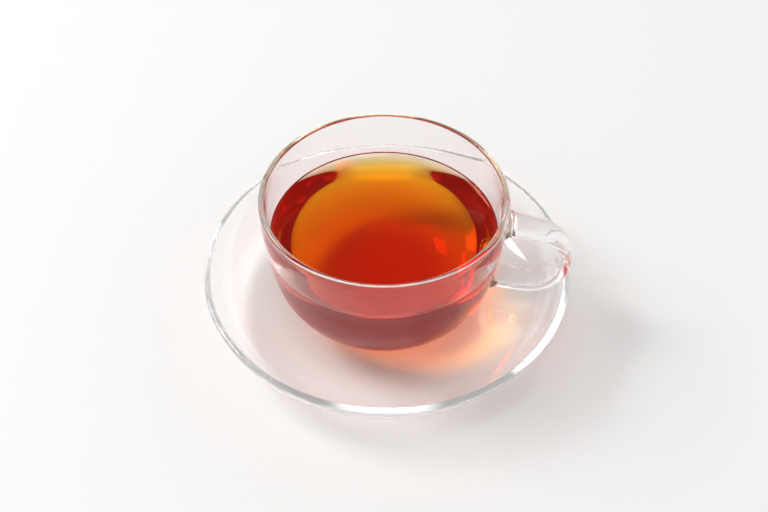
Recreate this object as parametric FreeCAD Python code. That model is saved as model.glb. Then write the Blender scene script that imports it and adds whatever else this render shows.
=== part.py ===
import FreeCAD, Part
import math
import os

V = FreeCAD.Vector

# A clear glass cup of tea on its clear glass saucer, in millimetres.
# The origin is the centre of the saucer's underside, on the table. +Z is up and the handle points along +X.

# Cup: a thin blown bowl
rim_diameter = 91.0       # over the outside of the lip
cup_height = 54.7         # from its base to the lip
wall = 2.2                # blown side wall, and the lip's thickness
side_round = 160.0        # radius of the side's gentle curve, upright at the lip
bowl_round = 26.5         # radius of the big outer curve from side to base
inner_round = 24.0        # radius of the same curve inside
cup_floor = 2.8           # glass under the tea

# Tea
tea_below_lip = 18.4      # from the lip down to the tea

# Handle: one flat strap of pulled glass, bent into a loop
strap_width = 12.0        # across the strap, along Y
top_thickness = 3.4       # strap where it leaves the top of the bowl
bend_thickness = 4.6      # strap at the outside of its bend
bottom_thickness = 4.2    # strap where it comes back to the bowl
root_flare = 5.0          # extra width where the strap is welded on
root_swell = 3.2          # extra thickness there
flare_length = 7.0        # length over which both die out
top_drop = 11.6           # from the lip down to the strap's middle, at the bowl's side
bottom_drop = 39.5        # the same where the strap comes back
top_slope = 15.5          # degrees that the upper run falls outwards
bottom_slope = 7.0        # degrees that the lower run falls outwards
handle_reach = 22.9       # from the lip's outside to the middle of the strap's bend
root_depth = 7.0          # the strap's ends run this far past the bowl's side before they are trimmed

# Saucer
saucer_diameter = 140.0
saucer_height = 21.0      # from the table to its lip
saucer_glass = 2.4        # thickness of its floor and sides
floor_radius = 45.0       # flat floor, where the side's curve starts
cup_offset = -1.0         # the cup stands this far off the saucer's middle, along X

rim_radius = rim_diameter / 2
side_centre = V(rim_radius - side_round, 0, cup_height - wall / 2)
tea_level = cup_height - tea_below_lip


def revolved(outline):
    """Turn a list of edges in the XZ plane once round the Z axis into a solid."""
    face = Part.Face(Part.Wire(outline))
    return face.revolve(V(0, 0, 0), V(0, 0, 1), 360)


def point(radius, height):
    return V(radius, 0, height)


def line(start, end):
    return Part.LineSegment(start, end).toShape()


def arc(start, middle, end):
    return Part.Arc(start, middle, end).toShape()


def lip_end(inset):
    """Where the bowl's side, set in by this much from the outer one, reaches the lip's rounding."""
    return point(rim_radius - inset, side_centre.z)


def side_radius(inset, height):
    """Radius of the bowl's gently curved side, set in by this much, at a height above the cup's base."""
    drop = side_centre.z - height
    return side_centre.x + math.sqrt((side_round - inset) ** 2 - drop ** 2)


def bowl_curve(inset, floor, radius):
    """The arc tangent to the side and to a level floor: its upper end, middle and lower end."""
    centre_height = floor + radius
    drop = side_centre.z - centre_height
    run = math.sqrt((side_round - inset - radius) ** 2 - drop ** 2)
    upper = math.atan2(drop, run)
    ends = []
    for angle in (upper, (upper + math.pi / 2) / 2, math.pi / 2):
        ends.append(point(side_centre.x + run + radius * math.cos(angle), centre_height - radius * math.sin(angle)))
    return ends


def side_arc(inset, lower, upper):
    """The bowl's side, set in by this much, from a lower point up to an upper one."""
    height = (lower.z + upper.z) / 2
    return arc(lower, point(side_radius(inset, height), height), upper)


def make_bowl():
    inside_side, inside_middle, inside_floor = bowl_curve(wall, cup_floor, inner_round)
    outside_side, outside_middle, outside_base = bowl_curve(0, 0, bowl_round)
    lip_top = point(rim_radius - wall / 2, cup_height)
    return revolved([
        line(point(0, cup_floor), inside_floor),
        arc(inside_floor, inside_middle, inside_side),
        side_arc(wall, inside_side, lip_end(wall)),
        arc(lip_end(wall), lip_top, lip_end(0)),
        side_arc(0, outside_side, lip_end(0)),
        arc(outside_side, outside_middle, outside_base),
        line(outside_base, point(0, 0)),
        line(point(0, 0), point(0, cup_floor)),
    ])


def make_core(inset, base, radius, level):
    """The round form whose side is set in by this much from the bowl's outside, from a base up to a level."""
    side, middle, floor = bowl_curve(inset, base, radius)
    brim = point(side_radius(inset, level), level)
    return revolved([
        line(point(0, base), floor),
        arc(floor, middle, side),
        side_arc(inset, side, brim),
        line(brim, point(0, level)),
        line(point(0, level), point(0, base)),
    ])


def outside_radius(height):
    """Radius of the bowl's outside at a height above its base, on the side or on the curve below it."""
    side, middle, base = bowl_curve(0, 0, bowl_round)
    if height > side.z:
        return side_radius(0, height)
    return base.x + math.sqrt(bowl_round ** 2 - (bowl_round - height) ** 2)


def strap_path():
    """Line, arc, line: the middle of the strap as (position, direction, distance from the nearer root).

    Both runs are straight and the bend is one arc tangent to them, with its outermost point at the reach.
    """
    fall_top = math.radians(top_slope)
    fall_bottom = math.radians(bottom_slope)
    top_height = cup_height - top_drop
    bottom_height = cup_height - bottom_drop
    start = point(outside_radius(top_height), top_height)
    end = point(outside_radius(bottom_height), bottom_height)
    reach = rim_radius + handle_reach

    # The bend's radius r puts its centre r inside both lines and r short of the reach.
    top_at_reach = start.z - (reach - start.x) * math.tan(fall_top)
    bottom_at_reach = end.z - (reach - end.x) * math.tan(fall_bottom)
    lean = math.tan(fall_top) - math.tan(fall_bottom)
    need = 1 / math.cos(fall_top) + 1 / math.cos(fall_bottom)
    bend = (top_at_reach - bottom_at_reach) / (need - lean)
    centre = point(reach - bend, 0)
    centre.z = start.z - (centre.x - start.x) * math.tan(fall_top) - bend / math.cos(fall_top)

    first_angle = math.pi / 2 - fall_top
    last_angle = -math.pi / 2 - fall_bottom
    bend_start = centre + V(math.cos(first_angle), 0, math.sin(first_angle)) * bend
    bend_end = centre + V(math.cos(last_angle), 0, math.sin(last_angle)) * bend
    out = V(math.cos(fall_top), 0, -math.sin(fall_top))
    back = V(-math.cos(fall_bottom), 0, math.sin(fall_bottom))
    top_run = (bend_start - start).Length
    bottom_run = (bend_end - end).Length
    bend_length = bend * (first_angle - last_angle)

    stations = []
    for distance in (-root_depth, -root_depth / 2, 0, flare_length / 4, flare_length / 2, flare_length):
        if distance < top_run:
            stations.append((start + out * distance, out, distance, 0.0))
    steps = 10
    for step in range(steps + 1):
        share = step / steps
        angle = first_angle + (last_angle - first_angle) * share
        radial = V(math.cos(angle), 0, math.sin(angle))
        along = V(math.sin(angle), 0, -math.cos(angle))
        travelled = bend_length * share
        from_root = min(top_run + travelled, bottom_run + bend_length - travelled)
        stations.append((centre + radial * bend, along, from_root, share))
    for distance in (flare_length, flare_length / 2, flare_length / 4, 0, -root_depth / 2, -root_depth):
        if distance < bottom_run:
            stations.append((end - back * distance, back, distance, 1.0))
    return stations


def strap_section(position, direction, from_root, share):
    """Rounded rectangle across the strap: flared near a root, thickest half way round the bend."""
    edge_thickness = top_thickness + (bottom_thickness - top_thickness) * share
    bulge = math.sin(math.pi * share) ** 2
    thickness = edge_thickness + (bend_thickness - edge_thickness) * bulge
    flare = max(0.0, 1 - max(from_root, 0) / flare_length) ** 2
    half_width = (strap_width + root_flare * flare) / 2
    half_height = (thickness + root_swell * flare) / 2
    corner = 0.9 * half_height
    outward = V(-direction.z, 0, direction.x)
    sideways = V(0, 1, 0)

    def at(across, up):
        return position + sideways * across + outward * up

    flat = half_width - corner
    rise = half_height - corner
    bow = corner * math.sqrt(0.5)
    edges = []
    corners = ((1, 1), (-1, 1), (-1, -1), (1, -1))
    for index, (right, top) in enumerate(corners):
        beside = at(right * half_width, top * rise)
        above = at(right * flat, top * half_height)
        between = at(right * (flat + bow), top * (rise + bow))
        clockwise = index % 2 == 0
        first, last = (beside, above) if clockwise else (above, beside)
        if edges:
            edges.append(line(edges[-1].Vertexes[-1].Point, first))
        edges.append(arc(first, between, last))
    edges.append(line(edges[-1].Vertexes[-1].Point, edges[0].Vertexes[0].Point))
    return Part.Wire(edges)


def make_handle():
    """The strap lofted through its sections, with its ends trimmed half way into the bowl's wall."""
    sections = [strap_section(*station) for station in strap_path()]
    strap = Part.makeLoft(sections, True, False)
    half = wall / 2
    return strap.cut(make_core(half, half, bowl_round - half, cup_height))


def make_cup():
    return make_bowl().fuse(make_handle()).removeSplitter()


def make_saucer():
    """A level floor and one arc up to a rounded lip, of even thickness. Its underside is plain."""
    lip_radius = saucer_glass / 2
    lip_middle = point(saucer_diameter / 2 - lip_radius, saucer_height - lip_radius)
    run = lip_middle.x - floor_radius
    rise = saucer_height - saucer_glass
    curve = (run * run + rise * rise) / (2 * rise)
    turn = math.atan2(run, curve - rise)
    centre = point(floor_radius, lip_radius + curve)

    def on_curve(radius, angle):
        return centre + V(math.sin(angle), 0, -math.cos(angle)) * radius

    upper = curve - lip_radius
    lower = curve + lip_radius
    lip_top = lip_middle + V(math.cos(turn), 0, math.sin(turn)) * lip_radius
    return revolved([
        line(point(0, saucer_glass), on_curve(upper, 0)),
        arc(on_curve(upper, 0), on_curve(upper, turn / 2), on_curve(upper, turn)),
        arc(on_curve(upper, turn), lip_top, on_curve(lower, turn)),
        arc(on_curve(lower, turn), on_curve(lower, turn / 2), on_curve(lower, 0)),
        line(on_curve(lower, 0), point(0, 0)),
        line(point(0, 0), point(0, saucer_glass)),
    ])


def on_saucer(shape):
    """Stand a shape that was made on the cup's own base where the cup stands."""
    shape.translate(V(cup_offset, 0, saucer_glass))
    return shape


nodes = {
    "cup": on_saucer(make_cup()),
    "saucer": make_saucer(),
    "tea": on_saucer(make_core(wall, cup_floor, inner_round, tea_level)),
}
os.makedirs("parts", exist_ok=True)
for name, shape in nodes.items():
    solid = shape.Solids[0] if len(shape.Solids) == 1 else shape
    solid.exportStep("parts/" + name + ".step")
    box = solid.optimalBoundingBox()
    print(name, "solids", len(shape.Solids), "valid", solid.isValid(), "volume", round(solid.Volume, 1),
          "x", round(box.XMin, 2), round(box.XMax, 2), "y", round(box.YMin, 2), round(box.YMax, 2),
          "z", round(box.ZMin, 2), round(box.ZMax, 2))
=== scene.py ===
# %% [markdown]
# # A glass cup of tea
# This lesson models a thin blown glass cup with its strap handle, the tea in it, and the pressed glass
# saucer under it. Clear glass and clear tea have hardly any colour pattern of their own: what makes them
# look real is their exact shape, the way they bend light, and how tea takes colour out of it with depth.
# So nearly every cell here is about shape, and the materials are close to plain physics. Where a setting
# is for looks only, its cell says so.

# %% Load the frame
import math

import bpy
import numpy as np
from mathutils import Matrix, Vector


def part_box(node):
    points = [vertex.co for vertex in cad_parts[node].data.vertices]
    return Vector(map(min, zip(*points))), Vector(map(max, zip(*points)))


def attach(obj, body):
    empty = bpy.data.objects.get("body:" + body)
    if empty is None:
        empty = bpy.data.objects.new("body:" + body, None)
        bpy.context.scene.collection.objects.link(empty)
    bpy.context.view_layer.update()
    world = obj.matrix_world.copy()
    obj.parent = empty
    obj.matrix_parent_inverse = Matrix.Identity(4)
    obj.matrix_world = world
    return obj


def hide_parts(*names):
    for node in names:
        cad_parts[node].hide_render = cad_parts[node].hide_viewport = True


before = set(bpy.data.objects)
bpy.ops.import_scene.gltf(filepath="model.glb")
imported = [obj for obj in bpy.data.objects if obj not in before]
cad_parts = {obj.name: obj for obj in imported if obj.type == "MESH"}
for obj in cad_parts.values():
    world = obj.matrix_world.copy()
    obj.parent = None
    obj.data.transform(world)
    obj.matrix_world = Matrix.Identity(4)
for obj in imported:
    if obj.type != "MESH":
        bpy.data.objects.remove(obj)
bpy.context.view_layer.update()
print("pieces in the frame:", sorted(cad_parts))

# %% [markdown]
# ## Sizes
# The frame says where the cup, the saucer and the tea are. From their boxes come the bowl's axis, the
# heights of the lips and of the tea, and both radii. What a box can't say, such as how thick the glass
# is, is named here once, in metres.

# %% Sizes from the frame, and sizes of the glass
MM = 0.001
cup_low, cup_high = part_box("cup")
saucer_low, saucer_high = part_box("saucer")
tea_low, tea_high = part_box("tea")

axis_x = (tea_low.x + tea_high.x) / 2
rim_radius = cup_high.y
lip_z = cup_high.z
base_z = cup_low.z
floor_z = tea_low.z
tea_z = tea_high.z
saucer_radius = saucer_high.y
saucer_lip_z = saucer_high.z

wall = 2.2 * MM
side_round = 160.0 * MM
bowl_round = 26.5 * MM
inner_round = 24.0 * MM
saucer_glass = 2.4 * MM
saucer_flat = 45.0 * MM
contact_gap = 0.04 * MM
bowl_steps = 320
saucer_steps = 384
print("lip radius", round(rim_radius, 4), "lip height", round(lip_z, 4), "tea height", round(tea_z, 4))

# %% [markdown]
# ## Turned shapes
# A bowl, a saucer and a round pool of tea are all turned: a profile goes once round an upright axis.
# A lathe modifier could do it, but a small function keeps the poles closed and the faces even. The
# profile is made of straight stretches and arcs, as a drawing of glassware would be.


# %% Stretches of a profile
SAME_PLACE = 1e-7


def run(start, end, count):
    """Points evenly along a straight line: start + t (end - start), with t from 0 to 1."""
    t = np.linspace(0, 1, count)[:, None]
    return np.array(start) + t * (np.array(end) - np.array(start))


def arc(centre, radius, first, last, count):
    """Points on a circle: centre + radius (cos a, sin a), with a going evenly from first to last degree."""
    a = np.radians(np.linspace(first, last, count))[:, None]
    return np.array(centre) + radius * np.hstack([np.cos(a), np.sin(a)])


def outline(*stretches):
    """Stretches joined end to end; a point that repeats the one before it is dropped."""
    points = np.vstack(stretches)
    steps = np.linalg.norm(np.diff(points, axis=0), axis=1)
    return points[np.concatenate([[True], steps > SAME_PLACE])]


# %% Meshes from arrays
def mesh_piece(name, points, quads, triangles):
    """A mesh object from arrays of points, four-sided faces and three-sided faces.

    The signed volume, a sixth of the sum of a . (b x c) over the triangles, says whether the faces
    point outwards; if it is negative, every face is turned over.
    """
    halves = np.vstack([quads[:, [0, 1, 2]], quads[:, [0, 2, 3]], triangles])
    a, b, c = points[halves[:, 0]], points[halves[:, 1]], points[halves[:, 2]]
    if np.einsum("ij,ij->i", a, np.cross(b, c)).sum() < 0:
        quads, triangles = quads[:, ::-1], triangles[:, ::-1]
    mesh = bpy.data.meshes.new(name)
    mesh.vertices.add(len(points))
    mesh.vertices.foreach_set("co", points.astype(np.float32).ravel())
    corners = np.concatenate([quads.ravel(), triangles.ravel()])
    sides = np.concatenate([np.full(len(quads), 4), np.full(len(triangles), 3)])
    mesh.loops.add(len(corners))
    mesh.loops.foreach_set("vertex_index", corners.astype(np.int32))
    mesh.polygons.add(len(sides))
    mesh.polygons.foreach_set("loop_start", (np.cumsum(sides) - sides).astype(np.int32))
    mesh.polygons.foreach_set("use_smooth", np.ones(len(sides), bool))
    mesh.update(calc_edges=True)
    mesh.validate()
    piece = bpy.data.objects.new(name, mesh)
    bpy.context.scene.collection.objects.link(piece)
    print(name, "points", len(points), "faces", len(sides))
    return piece


def closed_tube(name, rings, first_pole, last_pole):
    """A closed skin over rings of points, shaped (rings, round, 3), with a pole point at each end."""
    count, around = rings.shape[:2]
    points = np.vstack([rings.reshape(-1, 3), first_pole, last_pole])
    row = np.arange(count - 1)[:, None] * around
    here = np.arange(around)[None, :]
    after = (here + 1) % around
    quads = np.stack([row + here, row + after, row + around + after, row + around + here], -1).reshape(-1, 4)
    pole = count * around
    last = (count - 1) * around
    start_fan = np.stack([after[0], here[0], np.full(around, pole)], -1)
    end_fan = np.stack([last + here[0], last + after[0], np.full(around, pole + 1)], -1)
    return mesh_piece(name, points, quads, np.vstack([start_fan, end_fan]))


def turned(name, profile, centre_x, around):
    """A profile of (radius, height) points turned once: x = centre_x + r cos a, y = r sin a, z = height.

    The profile's first and last points lie on the axis and become the two poles.
    """
    a = np.linspace(0, 2 * np.pi, around, endpoint=False)
    radius, height = profile[1:-1, :1], profile[1:-1, 1:]
    level = np.broadcast_to(height, (len(height), around))
    rings = np.stack([centre_x + radius * np.cos(a), radius * np.sin(a), level], -1)
    poles = [np.array([[centre_x, 0, z]]) for z in profile[[0, -1], 1]]
    return closed_tube(name, rings, *poles)


# %% [markdown]
# ## The bowl
# The side is upright at the lip and curves in very gently, on a big arc. A smaller arc rounds it into the
# base. The inside follows it a wall's thickness further in, with a slightly thicker floor. The lip is fire
# polished, so its edge is a half circle. The base is plain, and stands a hair above the saucer, because
# two clear surfaces that share a place confuse the light.

# %% The bowl's gentle side and its rounded base
side_centre = np.array([rim_radius - side_round, lip_z - wall / 2])


def on_side(inset, height):
    """The point of the side at a height: r = cx + sqrt((R - inset)^2 - (cz - height)^2)."""
    reach = np.sqrt((side_round - inset) ** 2 - (side_centre[1] - height) ** 2)
    return np.array([side_centre[0] + reach, height])


def side_angle(inset, height):
    """The angle on the side's arc, in degrees, of its point at a height: 0 at the lip, less below it."""
    return -math.degrees(math.asin((side_centre[1] - height) / (side_round - inset)))


def base_arc(inset, level, radius):
    """Centre of the arc that touches the side, set in by inset, and a floor at a level; its upper angle.

    The arc's centre is its radius above the floor, and R - inset - radius away from the side's centre.
    """
    fall = side_centre[1] - level - radius
    reach = math.sqrt((side_round - inset - radius) ** 2 - fall ** 2)
    return np.array([side_centre[0] + reach, level + radius]), -math.degrees(math.atan2(fall, reach))


def outside_radius(height):
    """Radius of the bowl's outside at any height: the side above the base arc's end, the arc below it."""
    centre, upper = base_arc(0, base_z, bowl_round)
    depth = np.clip(centre[1] - height, -bowl_round, bowl_round)
    on_base = centre[0] + np.sqrt(bowl_round ** 2 - depth ** 2)
    base_end = centre[1] + bowl_round * math.sin(math.radians(upper))
    return np.where(height > base_end, on_side(0, height)[0], on_base)


# %% [markdown]
# ## The waist under the lip
# Fire polishing draws glass up into the lip, so the wall is a little thinner just under it. It is a small
# thing, but without it the lip guides light up from the tea like a glass fibre and looks brown.

# %% The wall's waist under the lip
waist_depth = 0.5 * MM
waist_start = 1.4 * MM
waist_end = 13.0 * MM


def waisted(points):
    """Points of the inner side moved outwards by d (1 - exp(-(f/a)^2)) (1 - f/e)^2.

    The letter f is how far a point lies below the middle of the lip, a is the waist's start and e its end.
    """
    f = np.clip(side_centre[1] - points[:, 1], 0, waist_end)
    thinner = waist_depth * (1 - np.exp(-(f / waist_start) ** 2)) * (1 - f / waist_end) ** 2
    return points + np.stack([thinner, 0 * f], -1)


upper_side = arc(side_centre, side_round - wall, 0, base_arc(wall, floor_z, inner_round)[1], 70)
print("the waist takes off at most", round((waisted(upper_side) - upper_side).max() / MM, 2), "mm")

# %% The bowl's profile
outer_centre, outer_upper = base_arc(0, base_z + contact_gap, bowl_round)
inner_centre, inner_upper = base_arc(wall, floor_z, inner_round)
bowl_profile = outline(
    run((0, base_z + contact_gap), (outer_centre[0], base_z + contact_gap), 14),
    arc(outer_centre, bowl_round, -90, outer_upper, 56),
    arc(side_centre, side_round, outer_upper, 0, 26),
    arc((rim_radius - wall / 2, lip_z - wall / 2), wall / 2, 0, 180, 17),
    waisted(upper_side),
    arc(inner_centre, inner_round, inner_upper, -90, 52),
    run((inner_centre[0], floor_z), (0, floor_z), 14),
)
bowl = turned("bowl", bowl_profile, axis_x, bowl_steps)

# %% [markdown]
# ## The handle
# A glassmaker pulls a hot strap of glass, presses one end on below the lip, bends it into a loop and
# presses the other end on lower down. Its middle line is a straight run, one arc and a straight run
# back. Its section is a rounded oblong, thickest round the bend. Where it is pressed on, it spreads
# into a fillet that lies on the bowl, and the hand's pull leaves it slightly wavy. A curve with a bevel
# can't spread like that, so the strap is a grid: one direction along its length, one around its section.

# %% The handle's sizes
strap_width = 12.0 * MM
top_thickness = 3.4 * MM
bend_thickness = 4.6 * MM
bottom_thickness = 4.2 * MM
top_drop = 11.6 * MM
bottom_drop = 39.5 * MM
top_slope = math.radians(15.5)
bottom_slope = math.radians(7.0)
handle_reach = 22.9 * MM
weld_radius = 4.2 * MM
weld_depth = 0.7 * MM
pull_wave = 0.16 * MM
thickness_wave = 5.1 * MM
width_wave = 8.3 * MM
oblong_power = 2.7
thickness_spread = 0.6
root_steps = 14
strap_steps = 132
section_steps = 72
search_reach = 8 * MM

# %% The handle's middle line
top_root = np.array([outside_radius(lip_z - top_drop), lip_z - top_drop])
bottom_root = np.array([outside_radius(lip_z - bottom_drop), lip_z - bottom_drop])
reach = rim_radius + handle_reach
fall = np.array([math.tan(top_slope), math.tan(bottom_slope)])
at_reach = np.array([top_root[1], bottom_root[1]]) - (reach - np.array([top_root[0], bottom_root[0]])) * fall
slant = 1 / math.cos(top_slope) + 1 / math.cos(bottom_slope)
bend = (at_reach[0] - at_reach[1]) / (slant - fall[0] + fall[1])
bend_centre = np.array([reach - bend, at_reach[0] + bend * (fall[0] - 1 / math.cos(top_slope))])
first_angle = math.pi / 2 - top_slope
last_angle = -math.pi / 2 - bottom_slope
out = np.array([math.cos(top_slope), -math.sin(top_slope)])
back = np.array([-math.cos(bottom_slope), math.sin(bottom_slope)])
bend_start = bend_centre + bend * np.array([math.cos(first_angle), math.sin(first_angle)])
bend_end = bend_centre + bend * np.array([math.cos(last_angle), math.sin(last_angle)])
top_run = np.linalg.norm(bend_start - top_root)
bottom_run = np.linalg.norm(bend_end - bottom_root)
bend_length = bend * (first_angle - last_angle)
strap_length = top_run + bend_length + bottom_run
print("bend radius", round(bend, 4), "strap length", round(strap_length, 4))


def middle_line(s):
    """Position and direction, in the plane of the loop, at a length s along the strap.

    Before the bend: root + s times the run's direction. In the bend: centre + bend (cos a, sin a), with
    a falling evenly as s grows. After it: straight back to the lower root.
    """
    a = first_angle - np.clip(s - top_run, 0, bend_length) / bend
    on_bend = bend_centre + bend * np.stack([np.cos(a), np.sin(a)], -1)
    before = np.minimum(s - top_run, 0)[:, None] * out
    after = np.maximum(s - top_run - bend_length, 0)[:, None] * back
    return on_bend + before + after, np.stack([np.sin(a), -np.cos(a)], -1)


# %% How far it is to the bowl
def distance_to_bowl(position, direction):
    """How far each point has to go along its direction to lie on the bowl's outside, by halving."""
    near = np.full(position.shape[:-1], -search_reach)
    far = np.full(position.shape[:-1], search_reach)
    for _ in range(40):
        middle = (near + far) / 2
        probe = position + middle[..., None] * direction
        inside = np.hypot(probe[..., 0] - axis_x, probe[..., 1]) < outside_radius(probe[..., 2])
        near, far = np.where(inside, near, middle), np.where(inside, middle, far)
    return (near + far) / 2


# %% The strap's rings of points
def strap_rings(stations, around):
    """Rings of points across the strap at lengths s, shaped (stations, around, 3).

    A section is the oblong |x/a|^p + |y/b|^p = 1, with p its power, a half the width and b half the
    thickness. Within a weld radius w of a root, at distance d from the bowl, both halves grow by
    w - sqrt(w^2 - (w - d)^2), which is a fillet. The ring at a root is moved on to the bowl itself.
    """
    s = np.array(stations)
    place, ahead = middle_line(np.clip(s, 0, strap_length))
    share = np.clip((s - top_run) / bend_length, 0, 1)
    edge = top_thickness + (bottom_thickness - top_thickness) * share
    thickness = edge + (bend_thickness - edge) * np.sin(np.pi * share) ** 2
    thickness = thickness + pull_wave * np.sin(s / thickness_wave) * np.sin(np.pi * share)
    width = strap_width + 2 * pull_wave * np.sin(s / width_wave + 1.0)
    root = np.clip(np.minimum(s, strap_length - s), 0, weld_radius)
    spread = weld_radius - np.sqrt(weld_radius ** 2 - (weld_radius - root) ** 2)
    half_width = (width / 2 + spread)[:, None]
    half_thick = (thickness / 2 + thickness_spread * spread)[:, None]
    t = np.linspace(0, 2 * np.pi, around, endpoint=False)
    power = 2 / oblong_power
    across = half_width * np.sign(np.cos(t)) * np.abs(np.cos(t)) ** power
    up = half_thick * np.sign(np.sin(t)) * np.abs(np.sin(t)) ** power
    normal = np.stack([-ahead[:, 1], ahead[:, 0]], -1)
    flat = place[:, None, :] + up[..., None] * normal[:, None, :]
    rings = np.stack([axis_x + flat[..., 0], across, flat[..., 1]], -1)
    forward = np.stack([ahead[:, 0], np.zeros(len(s)), ahead[:, 1]], -1)[:, None, :]
    fade = 1 - np.clip(root / weld_radius, 0, 1)
    fade = (fade * fade * (3 - 2 * fade))[:, None]
    travel = np.zeros(rings.shape[:2])
    for end, sign in ((0, -1), (-1, 1)):
        gap = distance_to_bowl(rings[end], sign * np.broadcast_to(forward[end], rings[end].shape))
        nearer = (s < strap_length / 2) if end == 0 else (s >= strap_length / 2)
        travel = np.where(nearer[:, None], sign * gap * fade, travel)
    return rings + travel[..., None] * forward, forward[:, 0, :]


# %% The strap's skin
near_root = weld_radius * (1 - np.cos(np.linspace(0, np.pi / 2, root_steps)))
stations = np.concatenate([
    near_root,
    np.linspace(weld_radius, strap_length - weld_radius, strap_steps)[1:-1],
    (strap_length - near_root)[::-1],
])
rings, forward = strap_rings(stations, section_steps)
sunk_first = rings[:1] - weld_depth * forward[0]
sunk_last = rings[-1:] + weld_depth * forward[-1]
rings = np.vstack([sunk_first, rings, sunk_last])
handle = closed_tube("handle", rings, rings[0].mean(0)[None], rings[-1].mean(0)[None])

# %% [markdown]
# ## One piece of glass
# Light bends at every surface it meets, so a strap that merely pokes into the wall would show its
# buried end. The two meshes are joined by a Boolean union, which leaves one skin round both.


# %% Weld the handle on
def welded(name, body, addition):
    """The union of two closed meshes as a new object with one skin; both originals are removed."""
    union = body.modifiers.new("weld", "BOOLEAN")
    union.operation = "UNION"
    union.solver = "EXACT"
    union.object = addition
    bpy.context.view_layer.update()
    graph = bpy.context.evaluated_depsgraph_get()
    mesh = bpy.data.meshes.new_from_object(body.evaluated_get(graph))
    mesh.name = name
    joined = bpy.data.objects.new(name, mesh)
    bpy.context.scene.collection.objects.link(joined)
    for old in (body, addition):
        bpy.data.objects.remove(old)
    mesh.polygons.foreach_set("use_smooth", np.ones(len(mesh.polygons), bool))
    mesh.update()
    print(name, "faces after the union", len(mesh.polygons))
    return joined


cup = welded("cup_glass", bowl, handle)

# %% [markdown]
# ## The saucer
# Pressed clear glass of even thickness: a level floor and one arc up to a rounded lip. Upper and lower
# faces are arcs about one centre, so the glass stays equally thick. Underneath it is plain.

# %% The saucer's profile
saucer_top = base_z
saucer_round = saucer_glass / 2
edge_centre = np.array([saucer_radius - saucer_round, saucer_lip_z - saucer_round])
dish_run = edge_centre[0] - saucer_flat
dish_rise = saucer_lip_z - saucer_top
dish_radius = (dish_run ** 2 + dish_rise ** 2) / (2 * dish_rise)
dish_turn = math.degrees(math.atan2(dish_run, dish_radius - dish_rise))
dish_centre = np.array([saucer_flat, saucer_top - saucer_round + dish_radius])
saucer_profile = outline(
    run((0, saucer_top), (saucer_flat, saucer_top), 26),
    arc(dish_centre, dish_radius - saucer_round, -90, dish_turn - 90, 44),
    arc(edge_centre, saucer_round, dish_turn + 90, dish_turn - 90, 15),
    arc(dish_centre, dish_radius + saucer_round, dish_turn - 90, -90, 44),
    run((saucer_flat, saucer_top - saucer_glass), (0, saucer_top - saucer_glass), 26),
)
saucer = turned("saucer_glass", saucer_profile, 0.0, saucer_steps)
print("saucer's curve", round(dish_radius, 4), "metres in radius")

# %% [markdown]
# ## The tea
# Tea wets glass and climbs it: near the wall its surface curves up in a meniscus about 2 mm high. The
# tea reaches a hair into the glass, so that no film of air is left between the two, and light that
# passes through both bends by the right amount.

# %% The tea's profile: in the meniscus, height = calm + rise exp(-distance from the wall / length)
sunk = 0.06 * MM
meniscus_rise = 2.0 * MM
meniscus_length = 1.7 * MM
meniscus_reach = 14 * MM
calm_drop = 1.2 * MM
calm_z = tea_z - calm_drop
brim_z = calm_z + meniscus_rise
inset = wall - sunk
wall_at_brim = on_side(inset, brim_z)[0]
from_wall = np.linspace(1, 0, 40) ** 1.6 * meniscus_reach
climb = calm_z + meniscus_rise * np.exp(-from_wall / meniscus_length)
meniscus = np.stack([wall_at_brim - from_wall, climb], -1)
pool_centre, pool_upper = base_arc(inset, floor_z - sunk, inner_round + sunk)
tea_profile = outline(
    run((0, calm_z), meniscus[0], 16),
    meniscus,
    arc(side_centre, side_round - inset, side_angle(inset, brim_z), pool_upper, 20),
    arc(pool_centre, inner_round + sunk, pool_upper, -90, 52),
    run((pool_centre[0], floor_z - sunk), (0, floor_z - sunk), 12),
)
tea = turned("tea_liquid", tea_profile, axis_x, bowl_steps)

# %% [markdown]
# ## Where glass and tea touch
# Bare glass mirrors about four parts in a hundred of the light that meets it square on. Glass that is
# wetted by tea mirrors almost none, because the two bend light nearly alike. The renderer doesn't know
# that: it treats each skin as if air lay outside it. So each point is marked with how wet it is, and the
# materials below turn their mirroring down there.

# %% Mark the wet points
wet_fade = 4.0 * MM


def mark_wet(piece, touching):
    """Store how wet each point of a mesh is: (tea's level - height) / fade, kept between 0 and 1.

    Only points that pass a test of (distance from the bowl's axis, height) are wet at all.
    """
    mesh = piece.data
    spots = np.zeros(3 * len(mesh.vertices), np.float32)
    mesh.vertices.foreach_get("co", spots)
    spots = spots.reshape(-1, 3)
    height = spots[:, 2]
    touched = touching(np.hypot(spots[:, 0] - axis_x, spots[:, 1]), height)
    depth = np.clip((calm_z - height) / wet_fade, 0, 1)
    mark = mesh.attributes.new("wet", "FLOAT", "POINT")
    mark.data.foreach_set("value", (touched * depth).astype(np.float32))
    print(piece.name, "wet points", int(touched.sum()))


mark_wet(cup, lambda r, z: (r < outside_radius(z) - wall / 2) & (z > floor_z - wall / 2))
mark_wet(tea, lambda r, z: z < calm_z)

# %% [markdown]
# ## Glass and tea
# Both are a Principled shader with full transmission. Glass bends light by 1.47 and tea by 1.33, and
# neither is rough. The tea's colour isn't painted on: Volume Absorption takes blue out first, then
# green, so a thin edge is golden, a finger's breadth is amber and the depth of the cup is red. Blown
# glass is never quite even, so a faint, broad noise tips its surface a little. One setting is for looks
# only: what the top of the tea mirrors is tinted amber, which keeps a milky veil off it.


# %% A clear material
glass_bend, tea_bend = 1.47, 1.33


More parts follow.
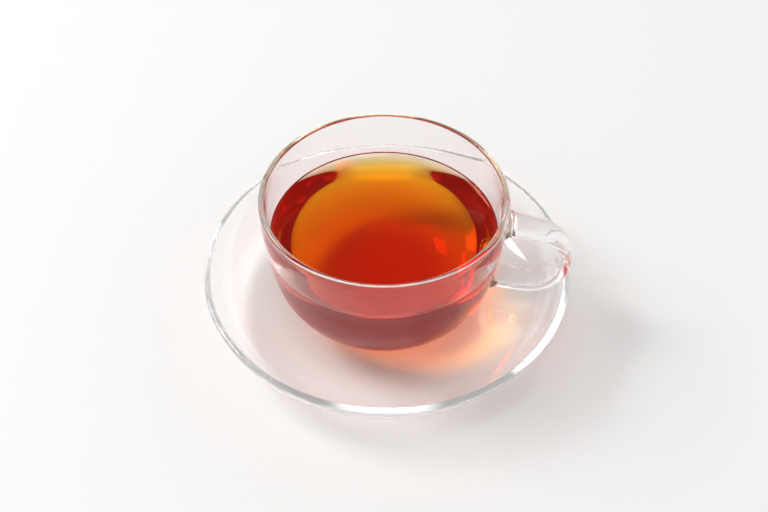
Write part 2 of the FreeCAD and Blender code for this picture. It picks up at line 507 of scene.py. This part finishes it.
def clear_material(name, ior, wave_size, wave_height):
    """A clear dielectric, perfectly smooth but for a broad, shallow noise that tips its surface."""
    material = bpy.data.materials.new(name)
    material.use_nodes = True
    nodes, links = material.node_tree.nodes, material.node_tree.links
    shader = nodes["Principled BSDF"]
    shader.inputs["Base Color"].default_value = (1, 1, 1, 1)
    shader.inputs["Transmission Weight"].default_value = 1.0
    shader.inputs["Roughness"].default_value = 0.0
    shader.inputs["IOR"].default_value = ior
    place = nodes.new("ShaderNodeTexCoord")
    wave = nodes.new("ShaderNodeTexNoise")
    wave.inputs["Scale"].default_value = 1 / wave_size
    wave.inputs["Detail"].default_value = 1.0
    bump = nodes.new("ShaderNodeBump")
    bump.inputs["Strength"].default_value = 1.0
    bump.inputs["Distance"].default_value = wave_height
    links.new(place.outputs["Object"], wave.inputs["Vector"])
    links.new(wave.outputs["Fac"], bump.inputs["Height"])
    links.new(bump.outputs["Normal"], shader.inputs["Normal"])
    return material


# %% Less mirroring where the surface is wet
# A Mix node has sockets for numbers, vectors and colours, so its colour sockets are reached by number.
MIX_SHARE, MIX_DRY, MIX_WET, MIX_RESULT = 0, 6, 7, 2


def dull_where_wet(material, mirror):
    """Tint what the surface mirrors: the mirror colour where it is dry, fading to black where it is wet."""
    nodes, links = material.node_tree.nodes, material.node_tree.links
    wet = nodes.new("ShaderNodeAttribute")
    wet.attribute_name = "wet"
    tint = nodes.new("ShaderNodeMix")
    tint.data_type = "RGBA"
    tint.inputs[MIX_DRY].default_value = mirror
    tint.inputs[MIX_WET].default_value = (0, 0, 0, 1)
    links.new(wet.outputs["Fac"], tint.inputs[MIX_SHARE])
    links.new(tint.outputs[MIX_RESULT], nodes["Principled BSDF"].inputs["Specular Tint"])


# %% The glass of the cup and of the saucer
cup_material = clear_material("cup glass", glass_bend, 14 * MM, 0.05 * MM)
saucer_material = clear_material("saucer glass", glass_bend, 22 * MM, 0.06 * MM)
dull_where_wet(cup_material, (1, 1, 1, 1))
print("glass materials:", cup_material.name, "and", saucer_material.name)

# %% The tea's own colour: the share left after a depth d is exp(-strength (1 - tint) d)
tea_tint = (0.975, 0.78, 0.0)
tea_strength = 280.0
tea_material = clear_material("tea", tea_bend, 30 * MM, 0.01 * MM)
dull_where_wet(tea_material, (1.0, 0.5, 0.3, 1))
tea_nodes, tea_links = tea_material.node_tree.nodes, tea_material.node_tree.links
absorb = tea_nodes.new("ShaderNodeVolumeAbsorption")
absorb.inputs["Color"].default_value = (*tea_tint, 1)
absorb.inputs["Density"].default_value = tea_strength
tea_links.new(absorb.outputs["Volume"], tea_nodes["Material Output"].inputs["Volume"])
left = [math.exp(-tea_strength * (1 - tint) * 20 * MM) for tint in tea_tint]
print("red, green and blue left after 20 mm of tea:", [round(share, 3) for share in left])

# %% What each piece is and what it stands for
for piece, material, node, slot in (
    (cup, cup_material, "cup", "cup_glass"),
    (saucer, saucer_material, "saucer", "saucer_glass"),
    (tea, tea_material, "tea", "tea"),
):
    piece.data.materials.clear()
    piece.data.materials.append(material)
    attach(piece, "root")
    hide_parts(node)

# %% [markdown]
# ## The table and the light
# Clear glass shows its surroundings, so the room matters as much as the lamp. Here it is a white studio
# tent, in bands by height: bright walls, which keep edges light; a dimmer band above them, which is the
# part that the tea's flat top mirrors; and a small bright patch overhead, which helps to draw the thin
# white line on the lip. One large soft lamp stands behind and to the left. Its light comes through the
# tea and falls on the saucer in front and to the right as a warm patch.

# %% Table
floor_mesh = bpy.data.meshes.new("table")
table_half = 4.0
floor_level = -contact_gap
corners = [(x * table_half, y * table_half, floor_level) for x, y in ((-1, -1), (1, -1), (1, 1), (-1, 1))]
floor_mesh.from_pydata(corners, [], [(0, 1, 2, 3)])
table = bpy.data.objects.new("table", floor_mesh)
bpy.context.scene.collection.objects.link(table)
table_material = bpy.data.materials.new("table paint")
table_material.use_nodes = True
paint = table_material.node_tree.nodes["Principled BSDF"]
paint.inputs["Base Color"].default_value = (0.88, 0.885, 0.88, 1)
paint.inputs["Roughness"].default_value = 0.6
floor_mesh.materials.append(table_material)

# %% Room
wall_light, gap_light, ceiling_light = 0.87, 0.42, 4.0
world = bpy.data.worlds.new("room")
bpy.context.scene.world = world
world.use_nodes = True
room_nodes, room_links = world.node_tree.nodes, world.node_tree.links
toward = room_nodes.new("ShaderNodeTexCoord")
upward = room_nodes.new("ShaderNodeSeparateXYZ")
bands = room_nodes.new("ShaderNodeValToRGB")
room_links.new(toward.outputs["Generated"], upward.inputs["Vector"])
room_links.new(upward.outputs["Z"], bands.inputs["Fac"])
room_links.new(bands.outputs["Color"], room_nodes["Background"].inputs["Color"])
room_nodes["Background"].inputs["Strength"].default_value = ceiling_light
stops = ((0.0, wall_light), (0.48, wall_light), (0.60, gap_light), (0.975, gap_light), (0.985, ceiling_light))
while len(bands.color_ramp.elements) < len(stops):
    bands.color_ramp.elements.new(0.5)
for stop, (height, light) in zip(bands.color_ramp.elements, stops):
    share = light / ceiling_light
    stop.position = height
    stop.color = (share, share, share, 1)
print("room bands:", len(stops))


# %% Lamp
def soft_lamp(name, place, aim, size, power, colour):
    """A square area lamp at a place, turned towards an aim point."""
    light = bpy.data.lights.new(name, "AREA")
    light.shape = "SQUARE"
    light.size = size
    light.energy = power
    light.color = colour
    lamp = bpy.data.objects.new(name, light)
    bpy.context.scene.collection.objects.link(lamp)
    lamp.location = place
    direction = np.array(aim) - np.array(place)
    flat = math.hypot(direction[0], direction[1])
    lamp.rotation_euler = (math.atan2(flat, -direction[2]), 0, math.atan2(-direction[0], direction[1]))
    print(name, "stands", round(float(np.linalg.norm(direction)), 2), "metres away")
    return lamp


soft_lamp("window", (-1.8, 0.56, 1.64), (0, 0, 0.03), 0.94, 36.0, (1.0, 0.99, 0.97))

# %% [markdown]
# ## The camera
# It looks down at the cup from in front, a little to the right of square, so the handle seems to turn
# slightly towards it.

# %% Camera
camera_turn = math.radians(4.0)
camera_fall = math.radians(47.04)
camera_distance = 376.3 * MM
aim_forward = 30.5 * MM
sight = np.array([-math.sin(camera_turn), math.cos(camera_turn)])
aim = np.array([axis_x - 0.06 * MM, 0.0, lip_z - 0.3 * MM])
aim[:2] -= aim_forward * sight
level, drop = math.cos(camera_fall), math.sin(camera_fall)
camera_data = bpy.data.cameras.new("camera")
camera_data.sensor_width = 36.0
camera_data.lens = 51.56
camera_data.clip_start = 0.01
camera = bpy.data.objects.new("camera", camera_data)
bpy.context.scene.collection.objects.link(camera)
camera.location = aim - camera_distance * np.array([level * sight[0], level * sight[1], -drop])
camera.rotation_euler = (math.pi / 2 - camera_fall, 0, camera_turn)
bpy.context.scene.camera = camera
print("camera at", [round(v, 4) for v in camera.location])

# %% [markdown]
# ## How far light is followed
# Light can bounce along inside a glass wall dozens of times before it gets out. If it is given up too
# soon, rims turn black, so the limits are high. Cycles also blurs what is seen by way of a shiny surface
# by default. That loses more than half of the light that should reach the table through the glass and the
# tea, so the blur is turned off.

# %% Light paths and picture tones
cycles = bpy.context.scene.cycles
cycles.max_bounces = 96
cycles.transmission_bounces = 96
cycles.glossy_bounces = 96
cycles.diffuse_bounces = 4
cycles.transparent_max_bounces = 16
cycles.blur_glossy = 0.0
cycles.caustics_reflective = True
cycles.caustics_refractive = True
bpy.context.scene.view_settings.view_transform = "Standard"
